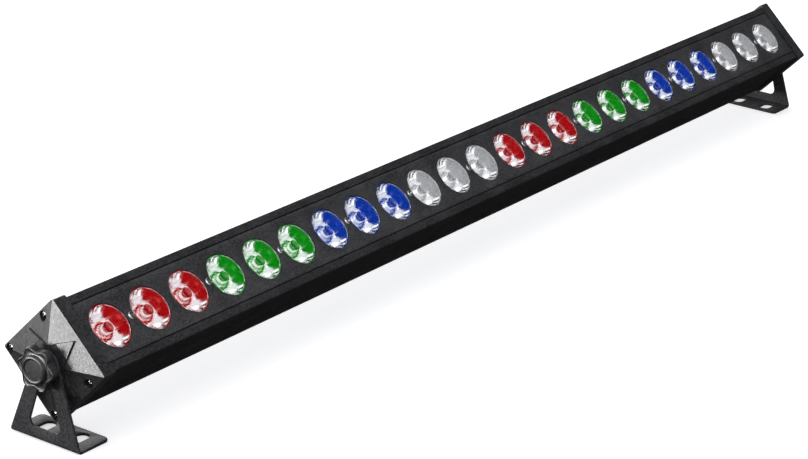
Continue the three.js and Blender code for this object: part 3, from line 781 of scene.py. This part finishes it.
def cut_by(bm, point, normal):
    """Cuts away what lies beyond a plane and closes the cut."""
    geom = [*bm.verts, *bm.edges, *bm.faces]
    cut = bmesh.ops.bisect_plane(bm, geom=geom, plane_co=point, plane_no=normal, clear_outer=True, dist=1e-6)
    rim = [e for e in cut["geom_cut"] if isinstance(e, bmesh.types.BMEdge)]
    bmesh.ops.holes_fill(bm, edges=rim, sides=0)


def sloped(bm, half_y, half_z, top_x, lift=0.0):
    """Cuts a prism along X to a pyramid with the hub's flat top, its sides lifted from the cap's rim."""
    cut_by(bm, (top_x, 0, 0), (1, 0, 0))
    for axis, half in ((1, half_y), (2, half_z)):
        for side in (-1, 1):
            normal = [half - HUB_HALF, 0, 0]
            normal[axis] = side * (top_x - CAP_PLANE)
            point = [CAP_PLANE + lift, 0, 0]
            point[axis] = side * half
            cut_by(bm, point, normal)


def end_cap():
    low, high = head_box("end_cap_right")
    top, skirt = high.x, low.x
    beyond = top + 1
    shell = prism(rounded_box(-high.y, high.y, -high.z, high.z, 2.0), skirt, beyond, "X")
    sloped(shell, high.y, high.z, top)
    notch = HUB_HALF * math.sqrt(2)
    star_outline = []
    for i in range(8):
        reach = notch if i % 2 else STAR_TIP
        star_outline.append((reach * math.cos(i * Q / 2), reach * math.sin(i * Q / 2)))
    star = prism(star_outline, CAP_PLANE - 2, beyond, "X")
    sloped(star, high.z, high.z, top, STAR_LIFT)
    solid = combined(shell, [star], "UNION")
    inside = rounded_box(-29.1, 29.1, -28.8, 28.6, 0.6)
    cavity = prism(inside, skirt - 1, CAP_PLANE - CAP_WALL, "X")
    start = CAP_PLANE - 9
    bore = lathe([(0, start), (BOLT_BORE, start), (BOLT_BORE, beyond), (0, beyond)], 48, "X")
    start = top - SEAT_DEPTH
    seat = lathe([(0, start), (SEAT_RADIUS, start), (SEAT_RADIUS, beyond), (0, beyond)], 64, "X")
    tools = [cavity, bore, seat]
    floor = CAP_PLANE - POCKET_DEPTH
    profile = [(0, floor - 5), (POCKET_HOLE, floor - 5), (POCKET_HOLE, floor), (POCKET_RADIUS, floor)]
    profile += [(POCKET_RADIUS, top), (0, top)]
    for y, z in SCREW_PLACES.values():
        pocket = lathe(profile, 40, "X")
        bmesh.ops.translate(pocket, verts=pocket.verts, vec=(0, y, z))
        tools.append(pocket)
    return tidy(combined(solid, tools, "DIFFERENCE"), 0.3)


def add_caps():
    shape = end_cap()
    screw = cross_screw(2.8, 1.5, 1.2, 13.0)
    screw.transform(Matrix.Rotation(Q, 4, "Y"))
    for end, mirror in ENDS.items():
        place = HEAD @ mirror
        add_piece(f"cap_{end}", shape.copy(), [CAP], "light_head",
                  replaces=[f"end_cap_{end}"], matrix=place, bevel=(0.32, 2, 12), angle=12)
        for n, (where, (y, z)) in enumerate(SCREW_PLACES.items()):
            node = f"cap_screw_{end}_{where}"
            turned = screw.copy()
            turned.transform(Matrix.Rotation(0.35 + 0.9 * n, 4, "X"))
            turned.transform(Matrix.Translation((CAP_PLANE - POCKET_DEPTH + 0.3, y, z)))
            add_piece(f"fixing_{end}_{where}", turned, [NICKEL], "light_head",
                      replaces=[node], matrix=place)


add_caps()

# ------------------------------------------------------------------ brackets, knobs, bolts and washers

PLATE_OUTER = 8.3  # the outer side of a bracket, beyond the cap's rim
PLATE_THICKNESS = 2.0
FOOT_HALF_WIDTH = 29.3
FOOT_DEPTH = 30.3
BEND_OUTER = 3.0
EYE_RADIUS, EYE_HOLE = 10.4, 4.2
WINDOW_SILL, WINDOW_SILL_HALF, WINDOW_SLOPE, WINDOW_TOP, WINDOW_CORNER = 9.0, 14.2, 0.285, 36.0, 4.5
SLOT_FROM_OUTSIDE, SLOT_Y, SLOT_LENGTH, SLOT_WIDTH = 17.2, 14.0, 17.0, 9.0


def bracket():
    """Sheet cut flat with its windows and slots, then bent up along one line."""
    pivot = PIVOT / MM
    bend_mid = BEND_OUTER - PLATE_THICKNESS / 2
    bend_length = Q * bend_mid
    foot_end = BEND_OUTER - FOOT_DEPTH

    def run(z):
        """Where a height on the upright lies on the flat sheet."""
        return z - BEND_OUTER + bend_length

    half = FOOT_HALF_WIDTH
    drop = pivot - PLATE_THICKNESS
    tangent = math.acos(EYE_RADIUS / math.hypot(half, drop)) - math.atan2(drop, half)
    corner = 4.0
    outline = [
        *arc(foot_end + corner, -half + corner, corner, 2 * Q, 3 * Q, 10),
        (run(PLATE_THICKNESS), -half),
        *[(run(pivot) + v, u) for u, v in arc(0, 0, EYE_RADIUS, 2 * Q - tangent, tangent, 36)],
        (run(PLATE_THICKNESS), half),
        *arc(foot_end + corner, half - corner, corner, Q, 2 * Q, 10),
    ]
    side = math.atan(WINDOW_SLOPE)

    def half_at(z):
        return WINDOW_SILL_HALF - WINDOW_SLOPE * (z - WINDOW_SILL)

    corner_z = WINDOW_SILL + WINDOW_CORNER
    corner_y = half_at(corner_z) - WINDOW_CORNER / math.cos(side)
    window = [
        *arc(corner_y, corner_z, WINDOW_CORNER, -Q, side, 10),
        *arc(0, WINDOW_TOP, half_at(WINDOW_TOP) * math.cos(side), side, 2 * Q - side, 14),
        *arc(-corner_y, corner_z, WINDOW_CORNER, 2 * Q - side, 3 * Q, 10),
    ]
    window = [(run(z), y) for y, z in reversed(window)]
    holes = [window, circle(run(pivot), 0, EYE_HOLE, 48)]
    slot_x = BEND_OUTER - SLOT_FROM_OUTSIDE
    holes += [slot_outline(slot_x, y, SLOT_LENGTH, SLOT_WIDTH) for y in (-SLOT_Y, SLOT_Y)]
    flat = plate(outline, holes, -PLATE_THICKNESS / 2, PLATE_THICKNESS / 2, 0.4, 2)
    steps = 10
    for i in range(steps + 1):
        bmesh.ops.bisect_plane(flat, geom=[*flat.verts, *flat.edges, *flat.faces],
                               plane_co=(bend_length * i / steps, 0, 0), plane_no=(1, 0, 0), dist=1e-5)
    for v in flat.verts:
        s, y, t = v.co
        if s <= 0:
            x, z, nx, nz = s, 0.0, 0.0, -1.0
        elif s >= bend_length:
            x, z, nx, nz = bend_mid, bend_mid + s - bend_length, 1.0, 0.0
        else:
            a = s / bend_mid
            nx, nz = math.sin(a), -math.cos(a)
            x, z = bend_mid * math.sin(a), bend_mid - bend_mid * math.cos(a)
        v.co = (CAP_PLANE + PLATE_OUTER - BEND_OUTER + x + nx * t, y, PLATE_THICKNESS / 2 + z + nz * t)
    return mesh_from(flat)


KNOB_LOBES = 6
KNOB_PHASE = math.radians(20.2)


def knob():
    """A six-lobed grip on a neck, with rolled edges and a raised ring round a sunk disc."""
    rear, front = CAP_PLANE + 8.6, CAP_PLANE + 20.3
    grip, shoulder = rear + 2.4, front - 2.1
    # Each station is (mean radius, height of the lobes, place along X).
    neck = [
        (4.4, 0, rear + 5.5), (4.4, 0, rear), (9.9, 0, rear), (10.4, 0, rear + 0.4), (10.5, 0, grip - 0.2),
        (10.7, 0, grip),
    ]
    lobes = [
        (12.0, 1.0, grip), (13.1, 1.4, grip + 0.15), (13.6, 1.5, grip + 0.45), (13.8, 1.5, grip + 1.1),
        (13.8, 1.5, shoulder - 0.6), (13.74, 1.5, shoulder - 0.32), (13.58, 1.48, shoulder - 0.1),
        (13.3, 1.44, shoulder), (13.0, 1.4, shoulder - 0.02), (12.7, 1.35, shoulder - 0.3),
        (12.3, 1.2, shoulder - 0.4), (11.0, 0.5, shoulder - 0.35), (10.0, 0.05, shoulder - 0.3),
    ]
    ring_and_disc = [
        (9.75, 0, shoulder - 0.1), (9.6, 0, shoulder + 0.4), (9.55, 0, front - 0.75), (9.46, 0, front - 0.5),
        (9.3, 0, front - 0.38), (8.4, 0, front - 0.06), (8.2, 0, front), (8.0, 0, front - 0.04),
        (7.15, 0, front - 0.32), (7.0, 0, front - 0.45), (6.9, 0, front - 0.6), (4.0, 0, front - 0.55),
        (0.8, 0, front - 0.53),
    ]
    steps = 168
    rings = []
    for mean, lobe, x in [*neck, *lobes, *ring_and_disc]:
        ring = []
        for i in range(steps):
            a = TAU * i / steps
            r = mean + lobe * math.cos(KNOB_LOBES * (a - KNOB_PHASE))
            ring.append((x, r * math.cos(a), r * math.sin(a)))
        rings.append(ring)
    return loft(rings)


def bolt():
    """The clamp bolt with its thread as a stack of ridges."""
    tail, top = CAP_PLANE - 14, CAP_PLANE + 13.9
    pitch, crest, root = 1.25, 3.78, 3.2
    profile = [(0, tail), (root, tail)]
    x = tail + 0.5
    while x + pitch < top - 5:
        profile += [(root, x), (crest, x + pitch * 0.42), (crest, x + pitch * 0.58), (root, x + pitch)]
        x += pitch
    profile += [(crest, x + 0.5), (crest, top), (0, top)]
    return lathe(profile, 36, "X")


def washer():
    inner, outer, low, high, edge = 4.4, 9.0, CAP_PLANE + 5.1, CAP_PLANE + 6.0, 0.25
    profile = [
        (inner, low), (outer - edge, low), (outer, low + edge), (outer, high - edge), (outer - edge, high),
        (inner + edge, high), (inner, high - edge), (inner, low),
    ]
    return lathe(profile, 64, "X")


def add_ends():
    bracket_shape, knob_shape = bracket(), mesh_from(knob())
    bolt_shape, washer_shape = mesh_from(bolt()), mesh_from(washer())
    for end, mirror in ENDS.items():
        place = HEAD @ mirror
        add_piece(f"foot_bracket_{end}", bracket_shape.copy(), [BRACKET], f"{end}_bracket",
                  replaces=[f"bracket_{end}"], matrix=UPRIGHT @ mirror)
        add_piece(f"clamp_knob_{end}", knob_shape.copy(), [KNOB], f"{end}_knob",
                  replaces=[f"knob_{end}"], matrix=place, angle=40)
        add_piece(f"clamp_bolt_{end}", bolt_shape.copy(), [STEEL], f"{end}_knob",
                  replaces=[f"knob_bolt_{end}"], matrix=place)
        add_piece(f"clamp_washer_{end}", washer_shape.copy(), [RUBBER], "light_head",
                  replaces=[f"friction_washer_{end}"], matrix=place)


add_ends()

# ------------------------------------------------------------------ the back: menu, sockets, fuse
# The back faces -Z of the head, so a height outside the back wall is lower than BACK.

BACK = head_box("control_plate")[1].z
OUTWARD = Matrix.Rotation(2 * Q, 4, "X")
DIGIT_PITCH, DIGIT_HALF_WIDTH, DIGIT_HALF_HEIGHT = 7.2, 1.9, 4.0
CONTACT_CIRCLE = 4.6
LATCH_HALF, LATCH_Y, LATCH_DEPTH = 3.0, (8.8, 12.2), 4.0  # the window that the release tab sinks into


def back_screws(name, radius, rise, seat, places):
    """Pan-head screws that stand out of the back at each (x, y)."""
    screw = cross_screw(radius, rise, radius * 0.5, 4.0)
    for i, (x, y) in enumerate(places):
        turned = screw.copy()
        turned.transform(Matrix.Rotation(0.4 + 1.3 * i, 4, "Z"))
        turned.transform(Matrix.Translation((x, y, seat)) @ OUTWARD)
        add_piece(f"{name}_screw_{i + 1}", turned, [STEEL], "light_head")
    bpy.data.meshes.remove(screw)


def segment(x, y, length, turn, z0, z1):
    """One bar of a digit, pointed at both ends."""
    half = 0.42
    reach, shoulder = length / 2, length / 2 - half
    outline = [
        (-reach, 0), (-shoulder, -half), (shoulder, -half), (reach, 0), (shoulder, half), (-shoulder, half),
    ]
    bar = prism(outline, z0, z1)
    bmesh.ops.rotate(bar, verts=bar.verts, matrix=Matrix.Rotation(turn, 3, "Z"))
    bmesh.ops.translate(bar, verts=bar.verts, vec=(x, y, 0))
    return bar


def add_menu():
    low, high = head_box("control_plate")
    window_low, window_high = head_box("display_window")
    keys = [head_box(f"menu_button_{i}") for i in range(1, 5)]
    centres = [((a.x + b.x) / 2, (a.y + b.y) / 2) for a, b in keys]
    gap, key_hole = 0.3, 3.4
    x0, x1, y0, y1 = window_low.x, window_high.x, window_low.y, window_high.y
    holes = [rounded_box(x0 - gap, x1 + gap, y0 - gap, y1 + gap, 1.2)]
    holes += [circle(x, y, key_hole, 32) for x, y in centres]
    outline = rounded_box(low.x, high.x, low.y, high.y, 2.5)
    add_piece("menu_plate", plate(outline, holes, low.z, high.z, 0.22), [PANEL], "light_head",
              replaces=["control_plate"])
    inset = 4.0
    corners = [(x, y) for x in (low.x + inset, high.x - inset) for y in (low.y + inset, high.y - inset)]
    back_screws("menu", 2.3, 1.2, low.z, corners)

    glass = plate(rounded_box(x0, x1, y0, y1, 0.9), [], window_low.z, window_high.z, 0.15)
    add_piece("menu_window", glass, [SMOKED], "light_head", replaces=["display_window"])
    middle = (x0 + x1) / 2
    outside, inside = window_low.z - 0.03, window_low.z + 0.1
    bars = []
    wide, tall = DIGIT_HALF_WIDTH, DIGIT_HALF_HEIGHT
    for digit in range(4):
        x = middle + (digit - 1.5) * DIGIT_PITCH
        bars += [segment(x, y, 3.4, 0, outside, inside) for y in (-tall, 0, tall)]
        for u in (-wide, wide):
            bars += [segment(x + u, v, 3.7, Q, outside, inside) for v in (-tall / 2, tall / 2)]
        bars.append(prism(circle(x + 3.5, tall, 0.45, 12), outside, inside))
    add_piece("menu_digits", merged(bars), [DIGIT], "light_head")

    for i, ((x, y), (key_low, key_high)) in enumerate(zip(centres, keys)):
        top = key_low.z
        profile = [
            (0, top + 0.02), (1.2, top), (2.1, top + 0.1), (2.7, top + 0.42), (2.95, top + 0.9),
            (3.0, BACK), (2, BACK + 0.2), (2, key_high.z), (0, key_high.z),
        ]
        key = lathe(profile, 40)
        bmesh.ops.translate(key, verts=key.verts, vec=(x, y, 0))
        add_piece(f"menu_key_cap_{i + 1}", key, [KEY], f"menu_key_{i + 1}",
                  replaces=[f"menu_button_{i + 1}"])


def add_power_inlet():
    low, high = head_box("power_inlet")
    x = (low.x + high.x) / 2
    mouth_x, mouth_y, corner_x, corner_y = 12.2, 8.4, 7.4, 3.6
    floor = high.z - 2
    mouth = [
        (x - mouth_x, -mouth_y), (x + mouth_x, -mouth_y), (x + mouth_x, corner_y), (x + corner_x, mouth_y),
        (x - corner_x, mouth_y), (x - mouth_x, corner_y),
    ]
    flange = plate(rounded_box(low.x, high.x, low.y, high.y, 3), [mouth], low.z, BACK, 0.35, 2)
    box = prism(rounded_box(x - 13.6, x + 13.6, -10.1, 10.1, 1.2), low.z + 0.9, high.z)
    shell = combined(box, [prism(mouth, low.z - 1, floor)], "DIFFERENCE")
    add_piece("mains_socket", merged([flange, tidy(shell)]), [SOCKET], "light_head",
              replaces=["power_inlet"])
    back_screws("mains", 2.6, 1.2, low.z, [(x - 20, 0), (x + 20, 0)])
    blades = []
    tip, root = low.z + 9, floor + 0.6
    for at, y in ((x - 7, -1.8), (x, 2.4), (x + 7, -1.8)):
        blades.append(loft([
            [(at - w, y - h, z), (at + w, y - h, z), (at + w, y + h, z), (at - w, y + h, z)]
            for w, h, z in ((0.5, 1.4, tip), (1, 2, tip + 1.2), (1, 2, root))
        ]))
    add_piece("mains_blades", merged(blades), [BRASS], "light_head")


def add_fuse():
    low, high = head_box("fuse_cap")
    x = (low.x + high.x) / 2
    points, radius = 120, (high.x - low.x) / 2

    def knurl(r, depth, z):
        """A ring of 30 ribs: two points of every four lie deeper."""
        ring = []
        for i in range(points):
            a = TAU * i / points
            reach = r - depth * (i % 4 in (2, 3))
            ring.append((reach * math.cos(a), reach * math.sin(a), z))
        return ring

    face = low.z
    cap = loft([
        knurl(radius - 1.1, 0, face), knurl(radius - 0.4, 0, face + 0.35), knurl(radius, 0.3, face + 0.8),
        knurl(radius, 0.3, BACK - 0.5), knurl(radius - 0.3, 0, BACK),
    ])
    slot = prism(rounded_box(-5, 5, -0.7, 0.7, 0.6, 4), face - 1, face + 1.2)
    cap = tidy(combined(cap, [slot], "DIFFERENCE"), 0.5)
    neck = lathe([(0, BACK - 0.2), (5.6, BACK - 0.2), (5.6, high.z), (0, high.z)], 32)
    shape = merged([cap, neck])
    bmesh.ops.translate(shape, verts=shape.verts, vec=(x, 0, 0))
    add_piece("fuse_carrier", shape, [SOCKET], "fuse_turn_cap", replaces=["fuse_cap"])


def contacts(x):
    """The places of the three contacts of a data socket."""
    return [(x + CONTACT_CIRCLE * math.cos(a), CONTACT_CIRCLE * math.sin(a)) for a in (-2 * Q, -Q, 0)]


def turned_at(profile, steps, x, y=0.0):
    shape = lathe(profile, steps)
    bmesh.ops.translate(shape, verts=shape.verts, vec=(x, y, 0))
    return shape


def latch_way(x, face):
    outline = rounded_box(x - LATCH_HALF, x + LATCH_HALF, *LATCH_Y, 0.5, 4)
    return prism(outline, face - 1, face + LATCH_DEPTH)


def add_signal_sockets():
    for node in ("dmx_in", "dmx_out"):
        low, high = head_box(node)
        x = (low.x + high.x) / 2
        face, tail, bore, barrel = low.z, high.z, 9.5, 11.8
        outline = rounded_box(low.x, high.x, low.y, high.y, 2.6)
        flange = plate(outline, [circle(x, 0, bore, 64)], face, BACK, 0.4, 2)
        lip = [
            (bore + 0.1, face + 0.3), (bore + 0.1, face - 0.25), (bore + 0.7, face - 0.45),
            (bore + 1.5, face - 0.3), (bore + 1.7, face + 0.3), (bore + 0.1, face + 0.3),
        ]
        tube = [
            (bore, face + 0.6), (barrel, face + 0.9), (barrel, tail), (0, tail), (0, tail - 1.6),
            (bore, tail - 1.6), (bore, face + 0.6),
        ]
        shapes = [flange, turned_at(lip, 64, x), turned_at(tube, 64, x)]
        end = tail - 1
        if node == "dmx_in":
            tip, r = face + 9, 1.2
            pin = [(0, tip), (0.7, tip + 0.15), (1.1, tip + 0.7), (r, tip + 1.4), (r, end), (0, end)]
            pins = [turned_at(pin, 24, *place) for place in contacts(x)]
        else:
            shapes = [tidy(combined(shape, [latch_way(x, face)], "DIFFERENCE"), 0.5) for shape in shapes]
            r = 7.2
            core = turned_at([(0, face + 0.4), (6.7, face + 0.4), (r, face + 0.9), (r, end), (0, end)], 64, x)
            ways = [prism(circle(*place, 1.55, 20), face - 1, face + 8) for place in contacts(x)]
            shapes.append(combined(core, ways, "DIFFERENCE"))
            near, far, inside, outside = face + 0.7, face + 7.9, 1.0, 1.5
            sleeve = [(inside, near), (outside, near), (outside, far), (inside, far), (inside, near)]
            pins = [turned_at(sleeve, 20, *place) for place in contacts(x)]
        add_piece(f"{node}_socket", merged(shapes), [SOCKET], "light_head", replaces=[node])
        add_piece(f"{node}_contacts", merged(pins), [BRASS], "light_head")
        back_screws(node, 2.4, 1.2, face, [(x - 9.5, -12), (x + 9.5, 12)])
    low, high = head_box("dmx_latch")
    tab = prism(rounded_box(low.x, high.x, low.y, high.y, 0.7, 5), low.z, high.z)
    add_piece("latch_release", tab, [LATCH], "latch_tab", replaces=["dmx_latch"],
              bevel=(0.25, 3, 40))


add_menu()
add_power_inlet()
add_fuse()
add_signal_sockets()

CARRIED = {
    "led_board_left": BOARD, "led_board_right": BOARD,
    "power_supply": SUPPLY, "control_board": CIRCUIT,
}
for node, material in CARRIED.items():
    mesh = frame["nodes"][node].data
    mesh.materials.clear()
    mesh.materials.append(material)
